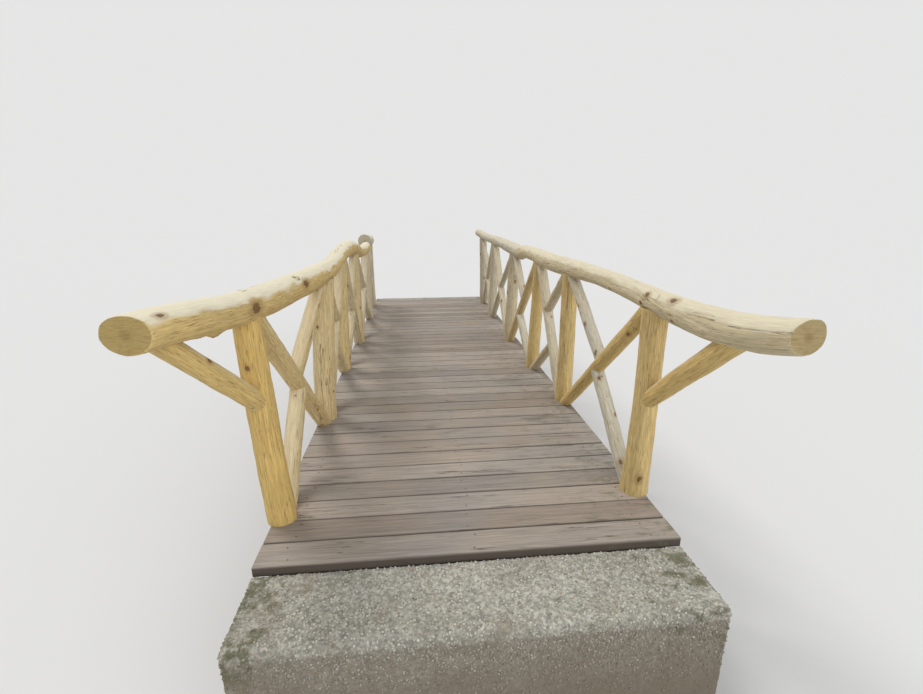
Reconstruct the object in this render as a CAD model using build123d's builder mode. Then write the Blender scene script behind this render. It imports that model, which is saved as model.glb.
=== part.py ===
"""Rustic wooden footbridge: a deck of cross boards between two railings of peeled logs.

The bridge runs along Y with its approach end at -Y, X is across the walkway, Z is up.
The origin is on the ground under the middle of the deck. All sizes are in millimetres.
"""

import os
from math import atan2, tan

from build123d import *

# Deck
board_width = 145
board_gap = 5
board_thickness = 45
board_count = 41
board_edge_round = 4
deck_width = 1840

# Bearers under the deck, set in from its edges
bearer_width = 140
bearer_depth = 200
bearer_inset = 60
bearer_end_gap = 12

# Concrete abutments
abutment_height = 440
ledge_length = 320
sill_depth = 365
sill_drop = 28
sill_gap = 8
sill_edge_round = 14

# Railing posts: their line, how far each foot is shifted along the deck and strays outward,
# and each log's girth at the foot, at a third of its height and at the head
post_inset = 40
end_inset = 325
bay_count = 5
post_shifts = {"left": [0, 40, 40, -100, 100, -60], "right": [60, 190, -83, -172, -11, -70]}
post_strays = {"left": [0, 0, 30, 0, 10, 50], "right": [0, 5, -35, -55, -50, -20]}
post_girths = {
    "left": [
        (135, 130, 118),
        (150, 147, 142),
        (124, 114, 108),
        (128, 118, 112),
        (130, 122, 116),
        (128, 120, 110),
    ],
    "right": [
        (146, 116, 127),
        (122, 118, 112),
        (118, 112, 98),
        (132, 128, 112),
        (118, 112, 102),
        (126, 122, 112),
    ],
}
post_waist = 1 / 3
post_bow = 5
post_seat = 24

# Handrails: the usual height of their underside above the deck, and each log's stops.
# A stop is the place counted in posts, how far the log wanders out and up, and its girth.
rail_seat = 935
near_rail = {
    "left": [
        (-0.27, 106, 13, 115),
        (0, 45, 11, 142),
        (0.4, -13, 10, 149),
        (1, -60, 17, 136),
        (2, -10, 50, 138),
        (2.5, -8, 62, 148),
        (3, 0, 21, 146),
        (4, 5, -40, 124),
    ],
    "right": [
        (0, 10, -6, 120),
        (0.5, 5, 30, 108),
        (1, 5, 8, 134),
        (2, 0, 16, 132),
        (2.68, -5, -6, 146),
    ],
}
far_rail = {
    "left": [(4, 15, 17, 180), (5, 50, -12, 155)],
    "right": [(2.68, -5, -6, 132), (3, -15, 8, 136), (4, -25, 52, 116), (5, -40, 75, 112)],
}
near_end_stop = {"left": (180, 41, 134), "right": (120, 22, 118)}
near_overhang = {"left": 600, "right": 745}
far_end_stop = {"left": (58, -10, 150), "right": (-75, 105, 112)}
far_overhang = {"left": 150, "right": 270}
joint_gap = 1

# Braces between the posts: a long one through each bay, an upper and a lower short one
# that meet it at a share of the way down, and how far the upper one bends to the approach end
long_girths = {"left": [102, 90, 92, 88, 90], "right": [88, 86, 84, 82, 84]}
long_taper = 6
upper_meets = {"left": [0.476, 0.44, 0.46, 0.45, 0.48], "right": [0.454, 0.388, 0.442, 0.5, 0.48]}
lower_meets = {"left": [0.544, 0.58, 0.56, 0.57, 0.54], "right": [0.52, 0.64, 0.61, 0.53, 0.55]}
upper_bends = {"left": [30, 8, 14, 6, 10], "right": [6, -4, 5, 8, 5]}
upper_share = 0.88
lower_share = 0.92
brace_head_drop = 38
brace_head_room = 40
brace_foot_room = 8

# Rakers under the overhanging near ends of the rails
raker_girths = {"left": (92, 80), "right": (86, 100)}
raker_foot = {"left": 580, "right": 487}
raker_setback = {"left": 102, "right": 190}

# Timbers that meet are coped with this much air between them, and sawn from longer logs;
# a log is drawn through sections about this far apart
cope_gap = 0.3
saw_room = 30
section_pitch = 550

board_pitch = board_width + board_gap
deck_length = board_count * board_pitch - board_gap
deck_end = deck_length / 2
deck_top = abutment_height + bearer_depth + board_thickness
bearer_line = deck_width / 2 - bearer_inset - bearer_width / 2
post_line = deck_width / 2 - post_inset
bay_length = (deck_length - 2 * end_inset) / bay_count
hand = {"left": -1, "right": 1}


def girth_at(share, shares, girths):
    """The girth at a share of a log's length, read between the girths given along it."""
    for low, high, butt, tip in zip(shares, shares[1:], girths, girths[1:]):
        if share <= high:
            return butt + (tip - butt) * (share - low) / (high - low)
    return girths[-1]


def log(heart, girths):
    """A peeled log lofted through even sections, with one girth for each point of its heart."""
    with BuildPart() as timber:
        with BuildLine() as line:
            if len(heart) > 2:
                Spline(*heart)
            else:
                Line(*heart)
        edge = line.edge()
        shares = [edge.param_at_point(point) for point in heart]
        sections = max(len(heart), round(edge.length / section_pitch))
        for number in range(sections):
            share = number / (sections - 1)
            with BuildSketch(Plane(origin=edge @ share, z_dir=edge % share)):
                Circle(girth_at(share, shares, girths) / 2)
        loft()
    return timber.part


def slackened(girths):
    """The girths of the hole that a log leaves in the timbers coped around it."""
    return [girth + 2 * cope_gap for girth in girths]


def coped(timber, copes, on_deck=False):
    """A timber cut to the logs that it meets, and sawn off flat along the deck."""
    with BuildPart() as piece:
        add(timber)
        for cope in copes:
            add(cope, mode=Mode.SUBTRACT)
        if on_deck:
            split(bisect_by=Plane.XY.offset(deck_top), keep=Keep.TOP)
    return piece.part


def finish(piece, name):
    """Name a finished piece and write its file."""
    piece.label = name
    export_step(piece, f"parts/{name}.step")


def stand_places(side):
    """Where the posts of one railing stand along the deck."""
    regular = [-deck_end + end_inset + number * bay_length for number in range(bay_count + 1)]
    return [place + shift for place, shift in zip(regular, post_shifts[side])]


def along_stands(stands, count):
    """The place along the deck that lies a count of posts, whole or not, from the first."""
    whole = min(int(count), len(stands) - 2)
    return stands[whole] + (count - whole) * (stands[whole + 1] - stands[whole])


def heart_point(side, place, out, rise, girth):
    """A point on a rail's heart, from how far it wanders out, and its underside up."""
    return Vector(hand[side] * (post_line + out), place, deck_top + rail_seat + rise + girth / 2)


def rail_log(heart, girths, start, stop):
    """A rail log sawn square to the bridge at both ends."""
    first = heart[0] + (heart[0] - heart[1]).normalized() * saw_room
    last = heart[-1] + (heart[-1] - heart[-2]).normalized() * saw_room
    with BuildPart() as rail:
        add(log([first, *heart[1:-1], last], girths))
        split(bisect_by=Plane(origin=(0, start, 0), z_dir=(0, 1, 0)), keep=Keep.TOP)
        split(bisect_by=Plane(origin=(0, stop, 0), z_dir=(0, 1, 0)), keep=Keep.BOTTOM)
    return rail.part


def run_on(head, foot, girth):
    """The foot of a sloping log, run on until its whole section is below the deck."""
    fall = foot - head
    slope = atan2(abs(fall.Z), abs(fall.Y))
    return foot + fall.normalized() * (girth / tan(slope) / 2 + saw_room)


os.makedirs("parts", exist_ok=True)

# Abutments: a ledge that carries the bearers and a sill at the path side
for end_name, end in (("near", -1), ("far", 1)):
    outer = end * (deck_end + sill_depth)
    upstand = end * (deck_end + sill_gap)
    inner = end * (deck_end - ledge_length)
    sill_top = deck_top - sill_drop
    with BuildPart() as abutment:
        with BuildSketch(Plane.YZ.offset(-deck_width / 2)):
            with BuildLine():
                Polyline(
                    (inner, 0),
                    (outer, 0),
                    (outer, sill_top),
                    (upstand, sill_top),
                    (upstand, abutment_height),
                    (inner, abutment_height),
                    close=True,
                )
            make_face()
        extrude(amount=deck_width)
        top_edges = abutment.edges().filter_by(Axis.X).group_by(Axis.Z)[-1].sort_by(Axis.Y)
        fillet(top_edges[0 if end < 0 else -1], sill_edge_round)
    finish(abutment.part, f"{end_name}_abutment")

# Bearers
for name, line in (("left", -bearer_line), ("middle", 0), ("right", bearer_line)):
    with BuildPart() as bearer:
        with BuildSketch(Plane.XY.offset(abutment_height)):
            with Locations((line, 0)):
                Rectangle(bearer_width, deck_length - 2 * bearer_end_gap)
        extrude(amount=bearer_depth)
    finish(bearer.part, f"{name}_bearer")

# Deck boards, each a solid of its own
with BuildPart() as deck_boards:
    with BuildSketch(Plane.YZ.offset(-deck_width / 2)):
        with Locations((0, deck_top - board_thickness / 2)):
            with GridLocations(board_pitch, board_thickness, board_count, 1):
                RectangleRounded(board_width, board_thickness, board_edge_round)
    extrude(amount=deck_width)
finish(deck_boards.part, "deck_boards")

for side in ("left", "right"):
    stands = stand_places(side)
    feet = [
        Vector(hand[side] * (post_line + stray), stand, deck_top)
        for stand, stray in zip(stands, post_strays[side])
    ]
    joint = near_rail[side][-1][0]
    meeting = along_stands(stands, joint)

    # Handrail: a near log with an overhanging, flared end, and a far log that goes on from it
    near_end = stands[0] - near_overhang[side]
    far_end = stands[-1] + far_overhang[side]
    near_stops = [(near_end, *near_end_stop[side])]
    near_stops += [(along_stands(stands, count), *stop) for count, *stop in near_rail[side]]
    far_stops = [(along_stands(stands, count), *stop) for count, *stop in far_rail[side]]
    far_stops.append((far_end, *far_end_stop[side]))
    near_heart = [heart_point(side, *stop) for stop in near_stops]
    far_heart = [heart_point(side, *stop) for stop in far_stops]
    near_girths = [stop[-1] for stop in near_stops]
    far_girths = [stop[-1] for stop in far_stops]
    near_cut = (near_end, meeting - joint_gap / 2)
    far_cut = (meeting + joint_gap / 2, far_end)
    finish(rail_log(near_heart, near_girths, *near_cut), f"{side}_near_rail")
    finish(rail_log(far_heart, far_girths, *far_cut), f"{side}_far_rail")
    near_cope = rail_log(near_heart, slackened(near_girths), *near_cut)
    far_cope = rail_log(far_heart, slackened(far_girths), *far_cut)

    # What each post carries: the heart and girth of the near log up to the joint, then the far
    near_heads = {
        count: (point, stop[-1])
        for (count, *stop), point in zip(near_rail[side], near_heart[1:])
    }
    far_heads = {count: (point, stop[-1]) for (count, *stop), point in zip(far_rail[side], far_heart)}
    rails = [(near_heads, near_cope), (far_heads, far_cope)]

    # Posts, sawn flat at the deck and coped to the underside of the rail
    post_copes = []
    for number, foot in enumerate(feet):
        heads = far_heads if number >= joint else near_heads
        head, rail_girth = heads[number]
        girths = post_girths[side][number]
        root = foot - (head - foot).normalized() * saw_room
        waist = foot + (head - foot) * post_waist + Vector(hand[side] * post_bow, 0, 0)
        post_log = log([root, waist, head], girths)
        with BuildPart() as post:
            add(post_log)
            split(bisect_by=Plane.XY.offset(deck_top), keep=Keep.TOP)
            split(bisect_by=Plane.XY.offset(head.Z - rail_girth / 2 + post_seat), keep=Keep.BOTTOM)
            if number == joint:
                low_head, low_girth = near_heads[number]
                with Locations((low_head.X, meeting, low_head.Z - low_girth / 2 + post_seat)):
                    Box(
                        2 * girths[0],
                        girths[0],
                        rail_girth + low_girth,
                        align=(Align.CENTER, Align.MAX, Align.MIN),
                        mode=Mode.SUBTRACT,
                    )
            if number <= joint:
                add(near_cope, mode=Mode.SUBTRACT)
            if number >= joint:
                add(far_cope, mode=Mode.SUBTRACT)
        finish(post.part, f"{side}_post_{number + 1}")
        post_copes.append(log([root, waist, head], slackened(girths)))

    # Braces: the long log falls towards the far end in one bay and the near end in the next
    for bay in range(bay_count):
        ends = []
        for high, low in ((bay, bay + 1), (bay + 1, bay)):
            heads, rail_cope = rails[high > joint or bay == joint]
            inward = low - high
            head = heads[high][0] + Vector(0, inward * brace_head_room, -brace_head_drop)
            reach = post_girths[side][low][0] / 2 + brace_foot_room
            foot = feet[low] - Vector(0, inward * reach, 0)
            ends.append((head, foot, rail_cope, post_copes[high], post_copes[low]))
        if bay % 2 == 1:
            ends.reverse()
        (head, foot, *copes), (short_head, short_foot, short_rail, short_high, short_low) = ends
        long_girth = long_girths[side][bay]
        heart = [head, run_on(head, foot, long_girth)]
        girths = (long_girth, long_girth - long_taper)
        finish(coped(log(heart, girths), copes, on_deck=True), f"{side}_long_brace_{bay + 1}")

        long_cope = log(heart, slackened(girths))
        upper_meet = head + (foot - head) * upper_meets[side][bay]
        bend = (short_head + upper_meet) / 2 - Vector(0, upper_bends[side][bay], 0)
        upper_log = log([short_head, bend, upper_meet], [long_girth * upper_share] * 3)
        upper = coped(upper_log, [short_rail, short_high, long_cope])
        lower_meet = head + (foot - head) * lower_meets[side][bay]
        lower_girth = long_girth * lower_share
        lower_foot = run_on(lower_meet, short_foot, lower_girth)
        lower_log = log([lower_meet, lower_foot], [lower_girth] * 2)
        lower = coped(lower_log, [short_low, long_cope], on_deck=True)
        with BuildPart() as short_braces:
            add([upper, lower])
        finish(short_braces.part, f"{side}_short_braces_{bay + 1}")

    # Raker from the first post up to the overhanging end of the rail
    with BuildLine() as overhang:
        Spline(*near_heart)
    raker_head = overhang.edge().position_at(raker_setback[side], position_mode=PositionMode.LENGTH)
    first_head = near_heads[0][0]
    raker_base = feet[0] + (first_head - feet[0]).normalized() * raker_foot[side]
    raker = coped(log([raker_base, raker_head], raker_girths[side]), [near_cope, post_copes[0]])
    finish(raker, f"{side}_raker")
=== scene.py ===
# %% [markdown]
# # A rustic log footbridge
# The bridge is a boarded deck on two concrete abutments, between railings of peeled logs.
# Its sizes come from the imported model, which is loaded as a fixed frame. The steps below dress
# it: logs that look grown, weathered boards, rough concrete, fasteners, and then the studio.

# %% Load the frame
import bmesh
import bpy
from math import cos, pi, radians, sin, tau
import numpy as np
from mathutils import Matrix, Vector, noise
from mathutils.bvhtree import BVHTree


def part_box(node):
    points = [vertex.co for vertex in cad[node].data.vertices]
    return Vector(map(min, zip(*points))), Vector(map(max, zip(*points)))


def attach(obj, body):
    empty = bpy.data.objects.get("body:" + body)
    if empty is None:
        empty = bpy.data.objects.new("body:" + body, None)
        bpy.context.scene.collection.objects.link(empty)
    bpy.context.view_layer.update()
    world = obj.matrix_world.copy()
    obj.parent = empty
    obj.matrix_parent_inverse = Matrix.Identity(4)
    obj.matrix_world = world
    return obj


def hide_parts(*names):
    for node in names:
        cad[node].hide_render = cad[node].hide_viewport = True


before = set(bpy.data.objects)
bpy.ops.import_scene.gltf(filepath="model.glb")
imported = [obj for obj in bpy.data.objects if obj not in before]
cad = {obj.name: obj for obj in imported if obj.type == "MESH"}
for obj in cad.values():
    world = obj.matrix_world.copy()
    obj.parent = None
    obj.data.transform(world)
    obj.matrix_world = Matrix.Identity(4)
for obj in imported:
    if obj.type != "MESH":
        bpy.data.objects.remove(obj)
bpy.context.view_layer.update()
deck_low, deck_high = (Vector(corner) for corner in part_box("deck_boards"))
print(len(cad), "nodes, deck top at", round(deck_high.z, 3), "m")

# %% [markdown]
# ## Camera
# The photograph was taken standing before the near end, a little left of the middle, with a
# wide lens tilted down. Its place and angles were fitted to the board joints and post feet.

# %% Camera
photo_width, focal_pixels, film_width = 923, 463.4124, 36
eye = Vector((-0.213, -4.7131, 2.0664))
turn_right, tilt_down, roll = radians(5.4774), radians(15.9773), radians(-0.2131)
camera = bpy.data.objects.new("camera", bpy.data.cameras.new("camera"))
camera.data.sensor_width = film_width
camera.data.lens = film_width * focal_pixels / photo_width
camera.matrix_world = (
    Matrix.Translation(eye)
    @ Matrix.Rotation(-turn_right, 4, "Z")
    @ Matrix.Rotation(pi / 2 - tilt_down, 4, "X")
    @ Matrix.Rotation(roll, 4, "Z")
)
bpy.context.scene.collection.objects.link(camera)
bpy.context.scene.camera = camera
print("lens", round(camera.data.lens, 1), "mm")

# %% [markdown]
# ## Nodes in short
# Shaders and Geometry Nodes trees are both graphs of nodes and links. One helper adds a node,
# sets its options, and fills or links its inputs. A graph gives short names to the nodes that
# both kinds use, so that each finish and each tree below reads as a recipe.


# %% Node helpers
def add(tree, kind, inputs=(), **named):
    """A new node. Inputs, and names with a capital, fill or link sockets; the rest are settings."""
    made = tree.nodes.new(kind)
    sockets = dict(inputs)
    for name, value in named.items():
        if name[0].isupper():
            sockets[name.replace("_", " ")] = value
        else:
            setattr(made, name, value)
    for key, value in sockets.items():
        if isinstance(value, bpy.types.NodeSocket):
            tree.links.new(value, made.inputs[key])
        else:
            made.inputs[key].default_value = value
    return made


class Graph:
    """A node tree under construction; each method adds a node and gives its output."""

    def __init__(self, tree):
        self.tree = tree

    def node(self, kind, inputs=(), output=0, **named):
        return add(self.tree, kind, inputs, **named).outputs[output]

    def sum(self, operation, *terms):
        return self.node("ShaderNodeMath", dict(enumerate(terms)), operation=operation)

    def product(self, *terms):
        """All the terms multiplied together."""
        first, *others = terms
        for other in others:
            first = self.sum("MULTIPLY", first, other)
        return first

    def vector(self, operation, *terms, output=0):
        inputs = dict(enumerate(terms))
        return self.node("ShaderNodeVectorMath", inputs, output, operation=operation)

    def part(self, vector, axis):
        return self.node("ShaderNodeSeparateXYZ", {0: vector}, axis)

    def step(self, value, low, high, bottom=0.0, top=1.0):
        """A smooth step of value, from bottom at low to top at high."""
        inputs = {"Value": value, 1: low, 2: high, 3: bottom, 4: top}
        return self.node("ShaderNodeMapRange", inputs, interpolation_type="SMOOTHSTEP")

    def noise(self, place, scale, detail=4.0, roughness=0.55, distortion=0.0):
        """Noise of the given cells per metre along each axis of place."""
        place = self.vector("MULTIPLY", place, scale)
        more = {"Detail": detail, "Roughness": roughness, "Distortion": distortion}
        return self.node("ShaderNodeTexNoise", Vector=place, Scale=1.0, **more)


print("graph helpers ready")


# %% Material helpers
class Finish(Graph):
    """A material under construction, on the object's own coordinates."""

    def __init__(self, name, roughness, **constants):
        self.material = bpy.data.materials.new(name)
        self.material.use_nodes = True
        super().__init__(self.material.node_tree)
        self.tree.nodes.clear()
        constants["Roughness"] = roughness
        self.shader = add(self.tree, "ShaderNodeBsdfPrincipled", **constants)
        add(self.tree, "ShaderNodeOutputMaterial", Surface=self.shader.outputs[0])
        self.place = self.node("ShaderNodeTexCoord", output="Object")

    def attribute(self, name, output="Vector"):
        return self.node("ShaderNodeAttribute", output=output, attribute_name=name)

    def line(self, value, width):
        """Thin lines where a noise passes through its middle."""
        distance = self.sum("ABSOLUTE", self.sum("SUBTRACT", value, 0.5))
        return self.step(distance, 0.0, width, 1.0, 0.0)

    def mix(self, share, first, second, blend="MIX"):
        made = add(self.tree, "ShaderNodeMix", data_type="RGBA", blend_type=blend)
        for number, value in ((0, share), (6, first), (7, second)):
            if isinstance(value, bpy.types.NodeSocket):
                self.tree.links.new(value, made.inputs[number])
            else:
                made.inputs[number].default_value = value if number == 0 else (*value, 1.0)
        return made.outputs[2]

    def shade(self, colour, value, low, high):
        """Colour made darker or lighter by a noise, between the two factors."""
        factor = self.step(value, 0.25, 0.75, low, high)
        grey = self.node("ShaderNodeCombineColor", {0: factor, 1: factor, 2: factor})
        return self.mix(1.0, colour, grey, "MULTIPLY")

    def tint(self, share, colour):
        """Lays a colour over the finish so far."""
        self.colour = self.mix(share, self.colour, colour)

    def weather(self, value, low, high):
        """Darkens or lightens the finish so far by a noise."""
        self.colour = self.shade(self.colour, value, low, high)

    def height(self, *layers):
        """A height for the bump: the sum of layers, each a value and its weight."""
        total = 0.0
        for value, weight in layers:
            total = self.sum("MULTIPLY_ADD", value, weight, total)
        return total

    def finish(self, height, depth, roughness=None):
        """Wires the colour, a bump of that depth in metres, and the roughness."""
        bump = self.node("ShaderNodeBump", Height=height, Distance=depth)
        wires = {"Normal": bump, "Base Color": self.colour, "Roughness": roughness}
        for socket, value in wires.items():
            if value is not None:
                self.tree.links.new(value, self.shader.inputs[socket])
        print(len(self.tree.nodes), "nodes in", self.material.name)
        return self.material


print("material helpers ready")

# %% [markdown]
# ## Peeled log
# Peeled softwood shows tan sapwood with fine lengthwise grain, dark flecks of inner bark,
# drying cracks, and brown knots. Its top is paler: partly bleached to cream and partly painted
# sunlight. Each log below carries its own coordinates, so one solid texture serves every log:
# growth rings show at the cuts and long grain along the sides.

# %% Sapwood, grain and cracks
sapwood, pale_sapwood, silver = (0.65, 0.46, 0.165), (0.67, 0.60, 0.42), (0.47, 0.48, 0.45)
amber, inner_bark, crack_brown = (0.48, 0.275, 0.095), (0.24, 0.135, 0.05), (0.12, 0.07, 0.03)
peeled = Finish("peeled log", 0.78, Specular_IOR_Level=0.25)
grain_place = peeled.attribute("log_place")
# Tone parts: paleness, grey that is partly painted shade, and the share of bleached and sunlit top.
paleness, greying_and_shade, bleach_and_sunlight_share = (peeled.part(peeled.attribute("tone"), axis) for axis in range(3))

peeled.colour = peeled.mix(paleness, sapwood, pale_sapwood)
peeled.tint(greying_and_shade, silver)
broad = peeled.noise(grain_place, (13, 13, 1.3), 3)
peeled.tint(peeled.step(broad, 0.5, 0.8, 0.0, 0.34), amber)
streaks = peeled.noise(grain_place, (95, 95, 4.5), 5)
peeled.weather(streaks, 0.82, 1.13)
fibres = peeled.noise(grain_place, (330, 330, 11), 3)
peeled.weather(fibres, 0.78, 1.13)
flecks = peeled.noise(grain_place, (240, 240, 19), 2, 0.5)
peeled.tint(peeled.step(flecks, 0.57, 0.68, 0.0, 0.58), inner_bark)
cracks = peeled.line(peeled.noise(grain_place, (17, 17, 0.8), 4, 0.5), 0.006)
cracked = peeled.step(peeled.noise(grain_place, (9, 9, 1.1), 2), 0.52, 0.60)
cracks = peeled.product(cracks, cracked)
peeled.tint(peeled.product(cracks, 0.75), crack_brown)
print("sapwood, grain and cracks")

# %% Bleached top with painted sunlight, and knots
bleached_and_sunlit_cream, knot_brown, knot_rim = (0.79, 0.725, 0.55), (0.19, 0.095, 0.035), (0.33, 0.185, 0.065)
# Upward faces are painted cream: partly bleaching, partly painted sunlight.
upward = peeled.part(peeled.node("ShaderNodeNewGeometry", output="Normal"), 2)
ragged = peeled.sum("SUBTRACT", peeled.noise(grain_place, (20, 20, 7), 4, 0.55), 0.5)
top = peeled.step(peeled.sum("ADD", upward, peeled.product(ragged, 0.85)), 0.28, 0.60)
top = peeled.product(top, bleach_and_sunlight_share)
peeled.tint(top, peeled.shade(bleached_and_sunlit_cream, fibres, 0.88, 1.06))

from_knot = peeled.vector("LENGTH", peeled.attribute("knot_place"), output=1)
gnarl = peeled.sum("SUBTRACT", peeled.noise(grain_place, (55, 55, 40), 4, 0.6), 0.5)
from_knot = peeled.sum("ADD", from_knot, peeled.product(gnarl, 1.5))
knot_heart = peeled.step(from_knot, 0.6, 1.1, 1.0, 0.0)
knot_ring = peeled.step(from_knot, 1.1, 2.2, 1.0, 0.0)
knot_ring = peeled.product(peeled.step(from_knot, 0.7, 1.1), knot_ring)
knot_lines = peeled.sum("SINE", peeled.product(from_knot, 17.0))
peeled.tint(peeled.product(knot_ring, 0.45), knot_rim)
knot_wood = peeled.shade(knot_brown, knot_lines, 0.6, 1.2)
peeled.tint(peeled.product(knot_heart, 0.9), knot_wood)
print("bleached top and knots")

# %% Sawn ends, bump and gloss
ring_width = 0.0052
end_light, end_dark, end_stain = (0.42, 0.315, 0.125), (0.375, 0.27, 0.105), (0.33, 0.215, 0.085)
pith, split_brown = (0.24, 0.145, 0.055), (0.14, 0.085, 0.04)
across = peeled.vector("MULTIPLY", grain_place, (1, 1, 0))
radius = peeled.vector("LENGTH", across, output=1)
radius = peeled.sum("ADD", radius, peeled.product(peeled.noise(across, (28, 28, 28), 2), 0.006))
rings = peeled.sum("SINE", peeled.product(radius, tau / ring_width))
rings = peeled.sum("MULTIPLY_ADD", rings, 0.5, 0.5)
end_wood = peeled.mix(greying_and_shade, peeled.mix(rings, end_light, end_dark), silver)
stained = peeled.step(peeled.noise(across, (35, 35, 35), 4), 0.45, 0.7, 0.0, 0.4)
end_wood = peeled.mix(stained, end_wood, end_stain)
end_wood = peeled.mix(peeled.step(radius, 0.008, 0.026, 0.55, 0.0), end_wood, pith)
outward = peeled.vector("NORMALIZE", across)
splits = peeled.line(peeled.noise(outward, (1.1, 1.1, 1.1), 1), 0.004)
splits = peeled.product(splits, peeled.step(radius, 0.01, 0.03))
end_wood = peeled.mix(peeled.product(splits, 0.16), end_wood, split_brown)
end_wood = peeled.shade(end_wood, peeled.noise(peeled.place, (30, 300, 300), 2), 0.86, 1.1)
saw_cut = peeled.attribute("saw_cut", "Fac")
peeled.tint(saw_cut, end_wood)

side_height = peeled.height(
    (fibres, 0.35), (streaks, 0.9), (cracks, -1.4), (flecks, -0.25), (top, 0.35), (knot_ring, 0.5)
)
drop = peeled.sum("SUBTRACT", peeled.height((rings, 0.12), (splits, -0.25)), side_height)
log_height = peeled.sum("MULTIPLY_ADD", drop, saw_cut, side_height)
log_roughness = peeled.step(streaks, 0.3, 0.7, 0.70, 0.88)
log_material = peeled.finish(log_height, 0.0022, log_roughness)

# %% [markdown]
# ## Measuring a log in the frame
# Every log in the frame is a solid whose ends are coped to its neighbours. Its main axis comes
# from the spread of its surface, and circles fitted to cuts across that axis give the bent
# heart line and the girth. Rays cast towards the heart then measure the true surface.


# %% Solids of a node
def merged(name):
    """A node's mesh with its doubles merged, ready to work on."""
    work = bmesh.new()
    work.from_mesh(cad[name].data)
    bmesh.ops.remove_doubles(work, verts=work.verts, dist=1e-5)
    return work


def solids_of(name):
    """The separate solids of a node, highest first, as corner points and triangles."""
    work = merged(name)
    left = dict.fromkeys(work.faces)
    solids = []
    while left:
        reached = [left.popitem()[0]]
        for face in reached:
            for edge in face.edges:
                for other in edge.link_faces:
                    if other in left:
                        del left[other]
                        reached.append(other)
        corners = dict.fromkeys(corner for face in reached for corner in face.verts)
        points = np.array([tuple(corner.co) for corner in corners])
        numbers = {corner: number for number, corner in enumerate(corners)}
        triangles = np.array([[numbers[corner] for corner in face.verts] for face in reached])
        solids.append((points, triangles))
    work.free()
    return sorted(solids, key=lambda solid: -solid[0][:, 2].mean())


print(len(solids_of("left_short_braces_1")), "logs in left_short_braces_1")


# %% Main axis and sections
def main_axis(points, triangles):
    """A log's middle, and the unit vectors along it and twice across it."""
    corners = points[triangles]
    normals = np.cross(corners[:, 1] - corners[:, 0], corners[:, 2] - corners[:, 0])
    areas = np.linalg.norm(normals, axis=1)
    middles = corners.mean(axis=1)
    middle = (middles * areas[:, None]).sum(axis=0) / areas.sum()
    spread = (middles - middle) * np.sqrt(areas)[:, None]
    axis = np.linalg.eigh(spread.T @ spread)[1][:, 2]
    axis = axis if axis[np.abs(axis).argmax()] > 0 else -axis
    across = np.cross(axis, (1.0, 0.0, 0.0))
    across /= np.linalg.norm(across)
    return middle, axis, across, np.cross(axis, across)


def whole_sections(along, flat, triangles, tolerance):
    """Where cuts across a log are whole circles, and each circle's centre and radius."""
    one, two = np.concatenate([triangles, np.roll(triangles, 1, axis=1)]).T[:2]
    start, stop = along.min(), along.max()
    stations, circles = [], []
    for station in np.linspace(start + 0.01, stop - 0.01, max(16, int((stop - start) / 0.05))):
        crossed = (along[one] > station) != (along[two] > station)
        first, second = one[crossed], two[crossed]
        share = ((station - along[first]) / (along[second] - along[first]))[:, None]
        section = flat[first] * (1 - share) + flat[second] * share
        system = np.column_stack([section, np.ones(len(section))])
        answer = np.linalg.lstsq(system, (section**2).sum(axis=1), rcond=None)[0]
        centre = answer[:2] / 2
        size = np.sqrt(max(answer[2] + centre @ centre, 0.0))
        if np.abs(np.linalg.norm(section - centre, axis=1) - size).max() < tolerance:
            stations.append(station)
            circles.append((*centre, size))
    return stations, np.array(circles).T


def followed(stations, row):
    """Reads a row of values along a log, which run straight on past its first and last."""
    first = (row[2] - row[0]) / (stations[2] - stations[0])
    last = (row[-1] - row[-3]) / (stations[-1] - stations[-3])

    def read(s):
        before, after = min(s - stations[0], 0), max(s - stations[-1], 0)
        return np.interp(s, stations, row) + first * before + last * after

    return read


print("axis and section helpers ready")

# %% A measured log
around = 40
angles = np.arange(around) * tau / around
rail_slack, slack = 0.014, 0.0035
outside = 0.03
search_step = 0.03


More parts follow.
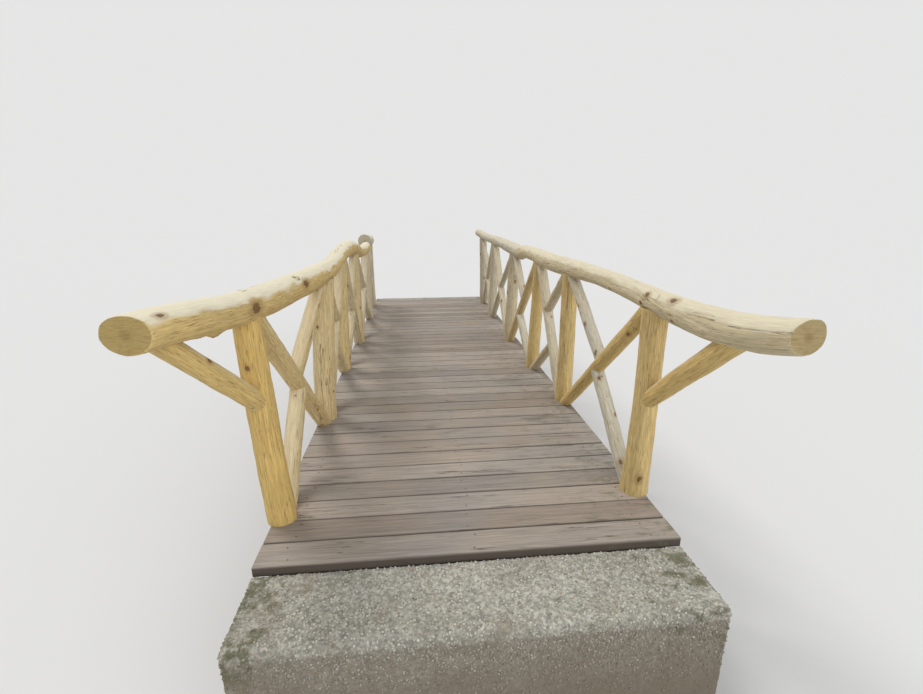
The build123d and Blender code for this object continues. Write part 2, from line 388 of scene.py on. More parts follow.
class Log:
    """A solid of the frame as a log: heart line, girth, side rays and true surface."""

    def __init__(self, points, triangles, bends, is_rail):
        self.middle, self.axis, self.across, self.third = main_axis(points, triangles)
        along = (points - self.middle) @ self.axis
        flat = (points - self.middle) @ np.column_stack([self.across, self.third])
        self.start, self.stop = along.min(), along.max()
        stations, circles = whole_sections(along, flat, triangles, 0.012 if is_rail else 0.003)
        if is_rail:
            read = [followed(stations, row) for row in circles]
        else:
            read = [np.poly1d(np.polyfit(stations, row, bends)) for row in circles]
        self.sideways, self.girth = read[:2], read[2]
        self.rays = [self.across * cos(angle) + self.third * sin(angle) for angle in angles]
        self.slack = rail_slack if is_rail else slack
        self.shell = BVHTree.FromPolygons(points.tolist(), triangles.tolist())

    def heart(self, s):
        x, y = (read(s) for read in self.sideways)
        return self.middle + self.axis * s + self.across * x + self.third * y

    def surface(self, s, n):
        """The distance from the heart to the side along ray n, or None where it is cut away."""
        ray = Vector(self.rays[n])
        reach = float(self.girth(s)) + outside
        hit = self.shell.ray_cast(Vector(self.heart(s)) + ray * reach, -ray, 2 * outside)
        if hit[0] is None or hit[1].dot(ray) < 0.75:
            return None
        size = reach - hit[3]
        return size if abs(size - self.girth(s)) < self.slack else None

    def span(self, n):
        """Where the side along ray n begins and ends, found by halving."""
        ends = []
        middle, length = (self.start + self.stop) / 2, self.stop - self.start
        inner = [middle + length * share for share in (0, -0.1, 0.1, -0.2, 0.2)]
        for limit, direction in ((self.start - 0.002, -1), (self.stop + 0.002, 1)):
            good = bad = next(s for s in inner if self.surface(s, n) is not None)
            while direction * (limit - bad) > 0:
                bad += direction * search_step
                if self.surface(bad, n) is None:
                    break
                good = bad
            for _ in range(7):
                half = (good + bad) / 2
                if self.surface(half, n) is None:
                    bad = half
                else:
                    good = half
            ends.append(good)
        return ends


sample = Log(*solids_of("left_long_brace_1")[0], 1, False)
length, thickness = sample.stop - sample.start, 2 * float(sample.girth(0))
print("left_long_brace_1 is", round(length, 2), "m long and", round(thickness, 3), "m thick")

# %% [markdown]
# ## Knots
# Knots are the places where branches grew. A peeled log keeps each one as a low swelling with
# a brown heart, and a few as trimmed stubs. The ones that can be made out in the photograph
# are listed by their place on the bridge; the rest are spread at random, with a fixed seed.

# %% Knots seen in the photograph
# Each is a place on the log's surface, the knot's half width and how far it swells, in metres
seen_knots = {
    "left_near_rail": [
        ((-0.860, -2.807, 1.707), 0.027, 0.05),
        ((-0.791, -2.221, 1.718), 0.024, 0.05),
        ((-0.950, -3.020, 1.630), 0.011, 1.6),
        ((-0.932, -2.752, 1.773), 0.007, 0.10),
        ((-0.965, -3.325, 1.785), 0.009, 0.20),
    ],
    "right_near_rail": [
        ((0.835, -2.650, 1.662), 0.010, 0.30),
        ((0.862, -2.881, 1.713), 0.016, 0.05),
        ((0.840, -2.272, 1.670), 0.008, 0.30),
    ],
    "right_post_1": [((0.868, -2.753, 0.785), 0.014, 0.15)],
    "right_short_braces_1": [
        ((0.868, -2.158, 1.110), 0.010, 0.10),
        ((0.848, -1.767, 1.478), 0.008, 0.20),
        ((0.851, -1.909, 1.388), 0.010, 0.25),
        ((0.852, -2.107, 1.247), 0.008, 0.15),
    ],
    "right_short_braces_2": [((0.845, -0.992, 1.313), 0.009, 0.20)],
    "right_long_brace_1": [((0.858, -2.502, 1.473), 0.011, 0.10)],
    "left_raker": [((-0.951, -3.068, 1.570), 0.010, 0.15)],
}


def knots_of(name, log, dice):
    """Each knot of a log: its place along and around it, its half width and its swelling."""
    knots = []
    stations = np.linspace(log.start, log.stop, 400)
    for point, size, swell in seen_knots.get(name, ()):
        far = np.linalg.norm([log.heart(s) - np.array(point) for s in stations], axis=1)
        s = stations[far.argmin()]
        if far.min() <= 1.4 * log.girth(s):
            offset = np.array(point) - log.heart(s)
            knots.append((s, np.arctan2(offset @ log.third, offset @ log.across), size, swell))
    for s in np.arange(log.start + 0.12, log.stop - 0.08, 0.33):
        if dice.random() < 0.62:
            size = dice.uniform(0.006, 0.013)
            s += dice.uniform(-0.12, 0.12)
            knots.append((s, dice.uniform(-pi, pi), size, dice.uniform(0.1, 0.35)))
    return knots


print(sum(len(knots) for knots in seen_knots.values()), "knots placed from the photograph")

# %% [markdown]
# ## Growing a log
# The rings are laid about 13 mm apart. Each point moves in or out a little by smooth noise:
# long waves for the grown shape, shorter ones for the drawknife's flats, and the knots. The
# ends that meet another timber run a few millimetres into it, so that no gap opens.

# %% Skin of a log
ring_pitch = 0.013
bury = 0.005
no_knot = (9.0, 9.0, 9.0)


def swollen(size, angle, s, seed, knots):
    """A measured radius made to look grown, and the place within the nearest knot."""
    x, y, _ = Vector((cos(angle), sin(angle), 0))
    long_wave = noise.noise(Vector((x * 0.9, y * 0.9, s * 4.5 + seed)))
    short_wave = noise.noise(Vector((x * 2.6, y * 2.6, s * 17 + seed)))
    flats = noise.noise(Vector((x * 4.5, y * 4.5, s * 6 - seed)))
    size += 0.0034 * long_wave + 0.0014 * short_wave + 0.0012 * flats - 0.0008
    closest, knot_place = no_knot[0], no_knot
    for knot_s, knot_angle, knot_size, swell in knots:
        turn = (angle - knot_angle + pi) % tau - pi
        along, beside = (s - knot_s) / 1.5, turn * size
        distance = (along**2 + beside**2) ** 0.5 / knot_size
        size += swell * knot_size * np.exp(-(distance / 1.9) ** 2)
        if distance < closest:
            closest, knot_place = distance, (along / knot_size, beside / knot_size, 0.0)
    return size, knot_place


class Skin:
    """The mesh of a node's logs under construction, with what their material reads."""

    def __init__(self):
        self.places, self.marks, self.knot_places, self.faces, self.cut = [], [], [], [], []

    def point(self, place, mark, knot_place=no_knot):
        self.places.append(place)
        self.marks.append(mark)
        self.knot_places.append(knot_place)
        return len(self.places) - 1

    def band(self, lower, upper, cut=0.0):
        """Faces between two rings of points."""
        for n in range(around):
            after = (n + 1) % around
            self.faces.append((lower[n], lower[after], upper[after], upper[n]))
            self.cut.append(cut)

    def close_end(self, rim, is_first):
        """A flat end in four bands and a middle, marked as a saw cut."""
        centre = np.mean([self.places[n] for n in rim], axis=0)
        mark = np.mean([self.marks[n] for n in rim], axis=0)
        ring = rim
        for share in (0.8, 0.6, 0.4, 0.2):
            inner = [
                self.point(
                    centre + (self.places[n] - centre) * share,
                    tuple(mark + (np.array(self.marks[n]) - mark) * share),
                )
                for n in rim
            ]
            self.band(*((inner, ring) if is_first else (ring, inner)), 1.0)
            ring = inner
        self.faces.append(tuple(ring[::-1] if is_first else ring))
        self.cut.append(1.0)


print(around, "points to a ring")

# %% Sides and nails
rail_arris, brace_arris = 0.010, 0.002
nail_inset = 0.042
nail_places, nail_aims = [], []


def nail_ends(log, spans, shares, rings, skin):
    """Leaves a place and a direction for a nail near each end of a brace."""
    middle = log.heart((log.start + log.stop) / 2)
    for end, direction in ((log.start, 1), (log.stop, -1)):
        away = np.array((0.0, np.sign(middle[1] - log.heart(end)[1]), 0.0))
        turn = np.arctan2(away @ log.third, away @ log.across) % tau
        n = int(round(turn / tau * around)) % around
        s = spans[n][0 if direction > 0 else 1] + direction * nail_inset
        row = int(np.abs(spans[n][0] + (spans[n][1] - spans[n][0]) * shares - s).argmin())
        nail_places.append(tuple(skin.places[rings[row][n]]))
        nail_aims.append(tuple(log.rays[n]))


def grow_log(skin, name, log, is_rail, seed):
    """Adds one log to a skin: its rings, its two ends and, on a brace, its nails."""
    knots = knots_of(name, log, np.random.default_rng(int(100 * seed)))
    spans = np.array([log.span(n) for n in range(around)])
    if not is_rail:
        spans += (-bury, bury)
    length = (spans[:, 1] - spans[:, 0]).mean()
    arris = rail_arris if is_rail else brace_arris
    rounding = arris / length * np.array((0.12, 0.4, 1.0))
    even = np.linspace(0.0, 1.0, max(8, int(length / ring_pitch)))[1:-1]
    shares = np.sort(np.concatenate([even, rounding, 1 - rounding]))
    low, high = (np.array(corner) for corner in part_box(name))
    rings = []
    for share in shares:
        rings.append([])
        for n, (first, last) in enumerate(spans):
            s = first + (last - first) * share
            inside = min(max(s, first + bury), last - bury)
            size = log.surface(inside, n) or float(log.girth(s))
            size, knot_place = swollen(size, angles[n], s, seed, knots)
            from_arris = 1 - min(min(share, 1 - share) * length / arris, 1)
            size -= 0.7 * arris * (1 - (1 - from_arris**2) ** 0.5)
            place = log.heart(s) + log.rays[n] * size
            x, y, _ = Vector((cos(angles[n]), sin(angles[n]), 0))
            mark = (x * size, y * size, s + seed * 3.7)
            place = np.clip(place, low, high) if is_rail else place
            rings[-1].append(skin.point(place, mark, knot_place))
    for lower, upper in zip(rings, rings[1:]):
        skin.band(lower, upper)
    skin.close_end(rings[0], True)
    skin.close_end(rings[-1], False)
    if "brace" in name or "raker" in name:
        nail_ends(log, spans, shares, rings, skin)


print("nails are set", round(1000 * nail_inset), "mm from the ends")

# %% [markdown]
# ## Dressing every log
# Each log's tone is read off the photograph: its paleness, its grey of age and painted shade, and
# the share of its top that is bleached and painted sunlit. The rails' outer ends and their joint
# are open saw cuts.

# %% Tones of the logs
# The grey of the right short braces and of the far logs is partly painted shade.
tones = {
    "left_near_rail": (0.15, 0.0, 1.0),
    "right_near_rail": (0.7, 0.12, 0.75),
    "left_far_rail": (0.6, 0.55, 0.6),
    "right_far_rail": (0.6, 0.55, 0.5),
    "left_post_1": (0.0, 0.0, 0.2),
    "left_raker": (0.1, 0.0, 0.4),
    "left_long_brace_1": (0.35, 0.0, 0.3),
    "left_short_braces_1": (0.4, 0.0, 0.4),
    "left_post_2": (0.5, 0.0, 0.2),
    "left_long_brace_2": (0.5, 0.1, 0.3),
    "left_short_braces_2": (0.5, 0.05, 0.3),
    "left_post_3": (0.3, 0.05, 0.2),
    "left_post_4": (0.35, 0.15, 0.2),
    "right_post_1": (0.15, 0.05, 0.2),
    "right_raker": (0.1, 0.0, 0.4),
    "right_long_brace_1": (0.05, 0.05, 0.3),
    "right_short_braces_1": (0.7, 0.6, 0.1),
    "right_post_2": (0.15, 0.05, 0.2),
    "right_long_brace_2": (0.9, 0.3, 0.3),
    "right_short_braces_2": (0.5, 0.35, 0.2),
    "right_post_3": (0.05, 0.1, 0.2),
    "right_long_brace_3": (0.1, 0.2, 0.2),
    "right_short_braces_3": (0.9, 0.5, 0.2),
}
log_words = ("rail", "post", "brace", "raker")
log_names = sorted(name for name in cad if any(word in name for word in log_words))


def tone_of(name, seed):
    """A log's tone: as listed, or paler and greyer towards the far end, that grey partly painted
    shade.
    """
    if name in tones:
        return tones[name]
    bay = int(name.rsplit("_", 1)[1])
    dice = np.random.default_rng(int(100 * seed))
    return (0.3 + 0.4 * dice.random(), 0.08 * bay + 0.15 * dice.random(), 0.25)


print(len(log_names), "logs to dress")


# %% Build the logs
def store(mesh, name, kind, domain, values):
    """A named attribute on a mesh."""
    made = mesh.attributes.new(name, kind, domain)
    field = "value" if kind == "FLOAT" else "vector"
    made.data.foreach_set(field, np.array(values, dtype=np.float32).ravel())


def show(name, mesh):
    """An object for a mesh, linked to the scene."""
    made = bpy.data.objects.new(name, mesh)
    bpy.context.scene.collection.objects.link(made)
    return made


made_triangles = 0
for seed, name in enumerate(log_names, 1):
    is_rail = "rail" in name
    bends = 3 if "post" in name or "short" in name else 1
    skin = Skin()
    for number, solid in enumerate(solids_of(name)):
        grow_log(skin, name, Log(*solid, bends, is_rail), is_rail, seed + 0.37 * number)
    mesh = bpy.data.meshes.new(name + "_log")
    mesh.from_pydata([tuple(place) for place in skin.places], [], skin.faces)
    store(mesh, "log_place", "FLOAT_VECTOR", "POINT", skin.marks)
    store(mesh, "knot_place", "FLOAT_VECTOR", "POINT", skin.knot_places)
    store(mesh, "tone", "FLOAT_VECTOR", "POINT", [tone_of(name, seed)] * len(skin.places))
    store(mesh, "saw_cut", "FLOAT", "FACE", skin.cut)
    mesh.polygons.foreach_set("use_smooth", [mark < 0.5 for mark in skin.cut])
    mesh.materials.append(log_material)
    piece = show(name + "_log", mesh)
    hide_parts(name)
    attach(piece, "root")
    made_triangles += sum(len(face) - 2 for face in skin.faces)
print("logs:", made_triangles, "triangles")

# %% [markdown]
# ## Geometry Nodes for what repeats
# Boards, bearers, screws and stones come from Geometry Nodes trees. A tree is a recipe with
# named inputs. To run it, a modifier gets a value for each input, and the mesh that comes out
# is kept as a plain piece.


# %% Tree helpers
def evaluated(piece):
    """The plain mesh that an object's modifiers make."""
    bpy.context.view_layer.update()
    graph = bpy.context.evaluated_depsgraph_get()
    return bpy.data.meshes.new_from_object(piece.evaluated_get(graph))


class Recipe(Graph):
    """A Geometry Nodes tree under construction, with named inputs and a material."""

    def __init__(self, name, **inputs):
        super().__init__(bpy.data.node_groups.new(name, "GeometryNodeTree"))
        kinds = {int: "Int", float: "Float", tuple: "Vector"}
        self.socket("Geometry", "Geometry")
        for label, value in inputs.items():
            made = self.socket(label.replace("_", " "), kinds[type(value)])
            made.default_value = value
        self.socket("Material", "Material")
        self.socket("Geometry", "Geometry", "OUTPUT")
        self.given = add(self.tree, "NodeGroupInput").outputs

    def socket(self, label, kind, in_out="INPUT"):
        interface = self.tree.interface
        return interface.new_socket(label, in_out=in_out, socket_type="NodeSocket" + kind)

    def shape(self, kind, output=0, **named):
        return self.node("GeometryNode" + kind, (), output, **named)

    def point(self, *parts):
        return self.node("ShaderNodeCombineXYZ", dict(enumerate(parts)))

    def noise(self, place, scale, detail=3.0):
        """Noise between about -0.5 and 0.5."""
        return self.sum("SUBTRACT", super().noise(place, scale, detail, 0.5), 0.5)

    def random(self, low, high, add_to_seed=0.0):
        """A random vector between two, for each element."""
        seed = self.given["Seed"]
        if add_to_seed:
            seed = self.sum("ADD", seed, add_to_seed)
        named = {"Min": low, "Max": high, "Seed": seed, "data_type": "FLOAT_VECTOR"}
        return self.node("FunctionNodeRandomValue", **named)

    def row(self, count, start, pitch):
        """Points in a row along Y."""
        named = {"Start_Location": start, "Offset": self.point(0, pitch, 0), "mode": "OFFSET"}
        return self.shape("MeshLine", Count=count, **named)

    def repeat(self, points, shape, **more):
        return self.shape("InstanceOnPoints", Points=points, Instance=shape, **more)

    def real(self, geometry):
        return self.shape("RealizeInstances", Geometry=geometry)

    def write(self, geometry, name, value, kind, domain):
        named = {"Name": name, "Value": value, "data_type": kind, "domain": domain}
        return self.shape("StoreNamedAttribute", Geometry=geometry, **named)

    def read(self, name, kind="FLOAT_VECTOR"):
        return self.shape("InputNamedAttribute", Name=name, data_type=kind)

    def move(self, geometry, **how):
        return self.shape("SetPosition", Geometry=geometry, **how)

    def held(self, place):
        """A place kept inside the box from Low to High."""
        place = self.vector("MAXIMUM", place, self.given["Low"])
        return self.vector("MINIMUM", place, self.given["High"])

    def head(self, radius, top_share, depth):
        """A small round fixing head that narrows to its top."""
        top = self.product(radius, top_share)
        sizes = {"Radius_Top": top, "Radius_Bottom": radius, "Depth": depth}
        return self.shape("MeshCone", Vertices=12, **sizes)

    def close(self, geometry):
        """Ends the tree: real mesh instead of instances, and its material."""
        named = {"Geometry": self.real(geometry), "Material": self.given["Material"]}
        add(self.tree, "NodeGroupOutput", Geometry=self.shape("SetMaterial", **named))
        print(len(self.tree.nodes), "nodes in", self.tree.name)

    def grow(self, name, nodes, slot, base=None, turn=None, **values):
        """Runs the tree on a base mesh and keeps what it makes as one plain piece."""
        piece = show(name, base or bpy.data.meshes.new(name))
        modifier = piece.modifiers.new(self.tree.name, "NODES")
        modifier.node_group = self.tree
        for socket in self.tree.interface.items_tree:
            key = socket.name.replace(" ", "_")
            if socket.in_out == "INPUT" and key in values:
                modifier[socket.identifier] = values[key]
        made = evaluated(piece)
        piece.modifiers.clear()
        piece.data = made
        if turn is not None:
            made.transform(turn)
        if nodes:
            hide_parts(*nodes)
        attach(piece, "root")
        made.calc_loop_triangles()
        print(name, len(made.loop_triangles), "triangles")
        return piece


print("tree helpers ready")

# %% [markdown]
# ## Weathered planks
# The deck boards and the bearers are both rows of sawn timber. The tree draws one timber as a
# rounded profile along a line, repeats it, and then wears each one differently: a slight cup,
# uneven edges, ends that aren't quite in line, and ridges along the grain.

# %% Draw one timber
board_count, board_pitch = 41, 0.15
planks = Recipe(
    "planks",
    Count=board_count,
    Pitch=board_pitch,
    Middle=(0.0, 0.0, 0.6625),
    Width=0.145,
    Thickness=0.045,
    Length=1.84,
    Edge_radius=0.004,
    Rings=30,
    Wear=0.0012,
    Cup=0.0012,
    Slip=0.004,
    Seed=3,
)
given = planks.given
sizes = {"Width": given["Thickness"], "Height": given["Width"], "mode": "RECTANGLE"}
outline = planks.shape("CurvePrimitiveQuadrilateral", **sizes)
outline = planks.shape("SubdivideCurve", Curve=outline, Cuts=5)
rounding = {"Radius": given["Edge radius"], "Count": 2, "mode": "POLY"}
outline = planks.shape("FilletCurve", Curve=outline, **rounding)
half = planks.product(given["Length"], 0.5)
start, stop = planks.point(0, 0, planks.product(half, -1.0)), planks.point(0, 0, half)
line = planks.shape("CurvePrimitiveLine", Start=start, End=stop)
line = planks.shape("ResampleCurve", Curve=line, Count=given["Rings"])
timber = planks.shape("CurveToMesh", Curve=line, Profile_Curve=outline, Fill_Caps=True)
timber = planks.shape("Transform", Geometry=timber, Rotation=(0, pi / 2, 0))
here = planks.shape("InputPosition")
beside = planks.sum("DIVIDE", planks.product(planks.part(here, 1), 2.0), given["Width"])
timber = planks.write(timber, "beside", beside, "FLOAT", "POINT")
print("one timber drawn")

# %% Repeat and wear the timbers
before = planks.product(planks.sum("SUBTRACT", given["Count"], 1.0), -0.5)
first = planks.point(0, planks.product(before, given["Pitch"]), 0)
row = planks.row(given["Count"], planks.vector("ADD", first, given["Middle"]), given["Pitch"])
shrunk = planks.point(planks.sum("SUBTRACT", 1.0, given["Slip"]), 1, 1)
tilts = planks.random((-0.003, -0.0006, -0.0007), (0.003, 0.0006, 0.0007))
row = planks.repeat(row, timber, Rotation=tilts, Scale=planks.random(shrunk, (1, 1, 1)))
chance = planks.random((0, 0, 0), (1, 1, 1), 1.0)
row = planks.real(planks.write(row, "plank", chance, "FLOAT_VECTOR", "INSTANCE"))
own, edge = planks.read("plank"), planks.read("beside", "FLOAT")
apart = planks.vector("ADD", here, planks.vector("MULTIPLY", own, (37, 37, 37)))
ridges = planks.noise(apart, (1.6, 55, 55))
waves = planks.noise(apart, (2.4, 3, 3))
cup = planks.product(edge, edge, planks.product(planks.part(own, 0), given["Cup"]))
lower = planks.sum("MULTIPLY_ADD", ridges, given["Wear"], planks.product(given["Wear"], -0.55))
lower = planks.sum("SUBTRACT", lower, cup)
sideways = planks.product(waves, edge, given["Wear"], 2.2)
row = planks.move(row, Offset=planks.point(0, sideways, lower))
faced = planks.sum("ABSOLUTE", planks.part(planks.shape("InputNormal"), 0))
long_sides = planks.node("FunctionNodeCompare", {0: faced, 1: 0.9}, operation="LESS_THAN")
planks.close(planks.shape("SetShadeSmooth", Geometry=row, Selection=long_sides))

# %% [markdown]
# ## Weathered board material
# Outdoor decking turns from brown to a silvery grey, and its softer grain washes out, so that
# dark lines run along each board. Every board gets its own tone, its edges at the gaps and its
# sides below the top get painted shade, and a little green grows towards the shaded right-hand
# side.

# %% Board colours
plank_shift = (19, 19, 19)
board = Finish("weathered board", 0.85, Specular_IOR_Level=0.2)
plank = board.attribute("plank")
own_place = board.vector("ADD", board.place, board.vector("MULTIPLY", plank, plank_shift))
grain = board.noise(own_place, (2.2, 120, 120), 6, 0.62, 0.3)
fine_grain = board.noise(own_place, (7, 420, 420), 4, 0.6)
patches = board.noise(board.place, (1.7, 2.4, 2.4), 4)
blotches = board.noise(own_place, (4.5, 16, 16), 4)
board.colour = board.mix(board.part(plank, 1), (0.33, 0.275, 0.225), (0.40, 0.345, 0.295))
board.tint(board.step(patches, 0.42, 0.66, 0.0, 0.55), (0.30, 0.285, 0.27))
board.tint(board.step(blotches, 0.55, 0.8, 0.0, 0.35), (0.43, 0.33, 0.25))
board.weather(board.part(plank, 2), 0.93, 1.07)
board.weather(grain, 0.80, 1.14)
board.weather(fine_grain, 0.76, 1.15)
print("grey, brown and grain")

# %% Splits, painted shade at edges and sides, and green
split = board.line(board.noise(own_place, (1.1, 36, 36), 3, 0.5), 0.012)
split = board.product(split, board.step(board.noise(own_place, (2.5, 12, 12), 2), 0.5, 0.6))
board.tint(board.product(split, 0.8), (0.07, 0.055, 0.045))
# Edges along the gaps between boards are painted with shade.
plank_edge = board.sum("ABSOLUTE", board.attribute("beside", "Fac"))
gap_shade = board.sum("ADD", plank_edge, board.product(board.sum("SUBTRACT", patches, 0.5), 0.12))
board.tint(board.step(gap_shade, 0.90, 1.0, 0.0, 0.6), (0.12, 0.10, 0.085))
# Board sides and undersides below the top are painted dark as shade.
level = board.part(board.place, 2)
shade_below_top = board.step(level, deck_high.z - 0.012, deck_high.z - 0.003, 0.8, 0.0)
board.tint(shade_below_top, (0.075, 0.058, 0.045))
green = board.step(board.noise(board.place, (9, 14, 14), 5, 0.65), 0.5, 0.68)
green = board.product(board.step(board.part(board.place, 0), 0.15, 0.95), green)
board.tint(board.product(green, 0.65), (0.15, 0.15, 0.085))
board_height = board.height((fine_grain, 0.5), (grain, 0.8), (split, -1.0))
board_material = board.finish(board_height, 0.0016)

# %% Lay the deck
planks.grow(
    "deck_boards_worn",
    ["deck_boards"],
    "deck_board",
    Middle=tuple((deck_low + deck_high) / 2),
    Length=deck_high.x - deck_low.x,
    Thickness=deck_high.z - deck_low.z,
    Material=board_material,
)

# %% [markdown]
# ## Bearers
# Three sawn timbers carry the deck. They are seen only from the sides and from below, and have
# stayed darker than the boards. They come out of the same tree, turned a quarter round.

# %% Bearer material
bearer = Finish("sawn bearer", 0.88, Specular_IOR_Level=0.2)
shifted = bearer.vector("MULTIPLY", bearer.attribute("plank"), plank_shift)
own_place = bearer.vector("ADD", bearer.place, shifted)
grain = bearer.noise(own_place, (70, 1.8, 70), 5, 0.6, 0.3)
saw_lines = bearer.noise(own_place, (6, 210, 6), 2)
bearer.colour = bearer.mix(bearer.step(grain, 0.4, 0.7), (0.33, 0.27, 0.205), (0.235, 0.18, 0.125))
bearer.weather(grain, 0.80, 1.15)
bearer.weather(saw_lines, 0.92, 1.06)
stains = bearer.step(bearer.noise(bearer.place, (3, 3, 5), 5), 0.5, 0.72, 0.0, 0.5)
bearer.tint(stains, (0.13, 0.115, 0.09))
bearer_height = bearer.height((saw_lines, 0.5), (grain, 0.8))
bearer_material = bearer.finish(bearer_height, 0.0015)

# %% Lay the bearers
beam_low, beam_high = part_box("middle_bearer")
left_low, left_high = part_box("left_bearer")
beam_pitch = (beam_low.x + beam_high.x - left_low.x - left_high.x) / 2
planks.grow(
    "bearers_sawn",
    ["left_bearer", "middle_bearer", "right_bearer"],
    "sawn_timber",
    turn=Matrix.Rotation(pi / 2, 4, "Z"),
    Count=3,
    Pitch=beam_pitch,
    Middle=(0.0, 0.0, (beam_low.z + beam_high.z) / 2),
    Width=beam_high.x - beam_low.x,
    Thickness=beam_high.z - beam_low.z,
    Length=beam_high.y - beam_low.y,
    Edge_radius=0.003,
    Rings=80,
    Wear=0.0015,
    Cup=0.0,
    Slip=0.0,
    Seed=8,
    Material=bearer_material,
)

# %% [markdown]
# ## Screws and nails
# Two screws hold each board to each bearer, and a nail goes through each end of every brace
# into the timber beside it. The heads are small, dull and slightly sunk. One tree lays out the
# deck screws from a grid of crossings; another sets a nail on each point that the logs left.

# %% Fixing material
steel = Finish("old steel", 0.55, Metallic=0.7)
rust = steel.noise(steel.place, (320, 320, 320), 3)
steel.colour = steel.mix(steel.step(rust, 0.42, 0.62), (0.15, 0.14, 0.13), (0.17, 0.085, 0.04))
steel_material = steel.finish(rust, 0.0002)

# %% Deck screws
screws = Recipe(
    "deck screws",
    Boards=board_count,
    Pitch=board_pitch,
    Lines=0.79,
    Spread=0.085,
    Level=0.685,
    Radius=0.004,
    Seed=4,
)
given = screws.given
run = screws.product(screws.sum("SUBTRACT", given["Boards"], 1.0), given["Pitch"])
width = screws.product(given["Lines"], 2.0)
counts = {"Vertices_X": 3, "Vertices_Y": given["Boards"]}
crossings = screws.shape("MeshGrid", Size_X=width, Size_Y=run, **counts)
start = screws.point(0, screws.product(given["Spread"], -0.5), given["Level"])
holes = screws.real(screws.repeat(crossings, screws.row(2, start, given["Spread"])))
jitter = screws.random((-0.014, -0.006, -0.0012), (0.014, 0.006, -0.0006))
holes = screws.move(holes, Offset=jitter)
screws.close(screws.repeat(holes, screws.head(given["Radius"], 0.86, 0.0011)))
screws.grow(
    "deck_screws", [], None, Lines=beam_pitch, Level=deck_high.z, Material=steel_material
)

# %% Brace nails
nails = Recipe("brace nails", Radius=0.0048, Rise=0.0016)
given = nails.given
facing = nails.node("FunctionNodeAlignRotationToVector", Vector=nails.read("aim"), axis="Z")
dome = nails.head(given["Radius"], 0.6, given["Rise"])
nails.close(nails.repeat(given["Geometry"], dome, Rotation=facing))
nail_mesh = bpy.data.meshes.new("nail_points")
nail_mesh.from_pydata(nail_places, [], [])
store(nail_mesh, "aim", "FLOAT_VECTOR", "POINT", nail_aims)
nails.grow("brace_nails", [], None, nail_mesh, Material=steel_material)

# %% [markdown]
# ## Rough concrete
# The abutments were cast with coarse gravel, which rain has washed bare. Each block is remeshed
# into even faces, chipped along its outer edge, and strewn with half-sunk stones. Each move is
# inward, and the result is held inside the block's own box. Soil and painted shade darken the
# sides, and moss grows at the top corners, on the cement and on the stones alike.


# %% Soil, painted side shade and moss
def soil_noise(finish):
    return finish.noise(finish.place, (8, 8, 5), 6, 0.65)


def splash_and_side_shade(finish, ragged):
    """Soil splashes and painted shade darken the sides of an abutment, more than its top."""
    level = finish.part(finish.node("ShaderNodeNewGeometry", output="True Normal"), 2)
    level = finish.sum("MULTIPLY_ADD", ragged, 0.6, level)
    below = finish.step(finish.part(finish.place, 2), 0.59, 0.63, 1.0, 0.0)
    share = finish.product(finish.step(level, 0.35, 1.15, 0.62, 0.0), below)
    finish.tint(share, (0.17, 0.14, 0.105))


def moss_on(finish):
    """Moss grows at the two top corners of an abutment, thickest at the left."""
    place = finish.part(finish.place, 0)
    left = finish.step(place, -0.92, -0.66, 0.20, 0.0)
    right = finish.step(place, 0.50, 0.92, 0.0, 0.14)
    ragged = finish.noise(finish.place, (16, 16, 16), 6, 0.65)
    level = finish.sum("ADD", finish.sum("ADD", left, right), ragged)
    above = finish.step(finish.part(finish.place, 2), 0.40, 0.62)
    return finish.product(finish.step(level, 0.61, 0.76), above)


print("soil and moss ready")

# %% Washed concrete
concrete = Finish("washed concrete", 0.95, Specular_IOR_Level=0.2)
gravel = add(concrete.tree, "ShaderNodeTexVoronoi", Vector=concrete.place, Scale=95.0).outputs
pits = concrete.noise(concrete.place, (45, 45, 45), 5, 0.65)
areas = concrete.noise(concrete.place, (3.5, 3.5, 3.5), 5)
washed = concrete.step(areas, 0.4, 0.65)
concrete.colour = concrete.mix(washed, (0.38, 0.365, 0.315), (0.47, 0.455, 0.40))
concrete.weather(concrete.part(gravel["Color"], 0), 0.80, 1.16)
concrete.weather(pits, 0.62, 1.14)
soil = soil_noise(concrete)
low_soil = concrete.sum("MULTIPLY_ADD", soil, 0.35, concrete.part(concrete.place, 2))
low_soil = concrete.step(low_soil, 0.45, 0.80, 0.75, 0.0)
concrete.tint(low_soil, (0.20, 0.165, 0.12))
concrete.tint(concrete.step(soil, 0.54, 0.74, 0.0, 0.5), (0.27, 0.235, 0.18))
# Soil splashes and painted shade on the sides.
splash_and_side_shade(concrete, soil)
moss = moss_on(concrete)
concrete.tint(concrete.product(moss, 0.75), (0.105, 0.105, 0.045))
concrete_height = concrete.height((gravel["Distance"], -0.5), (pits, 1.2), (moss, 0.8))
concrete_material = concrete.finish(concrete_height, 0.0025)

# %% Gravel stones
stone = Finish("gravel stone", 0.8, Specular_IOR_Level=0.3)
kinds = [stone.part(stone.attribute("stone"), axis) for axis in range(3)]
stone.colour = stone.mix(stone.step(kinds[0], 0.2, 0.8), (0.41, 0.395, 0.335), (0.60, 0.58, 0.515))
stone.tint(stone.step(kinds[1], 0.86, 0.92, 0.0, 0.7), (0.38, 0.29, 0.20))
stone.tint(stone.step(kinds[2], 0.88, 0.92, 0.0, 0.8), (0.24, 0.23, 0.21))
grit = stone.noise(stone.place, (350, 350, 350), 3)
stone.weather(grit, 0.86, 1.1)
soil = soil_noise(stone)
leftwards = stone.sum("MULTIPLY_ADD", soil, -0.5, stone.part(stone.place, 0))
leftwards = stone.step(leftwards, -1.15, -0.75, 0.16, 0.0)
dirty = stone.step(stone.sum("ADD", soil, leftwards), 0.52, 0.72, 0.0, 0.6)
stone.tint(dirty, (0.29, 0.23, 0.155))
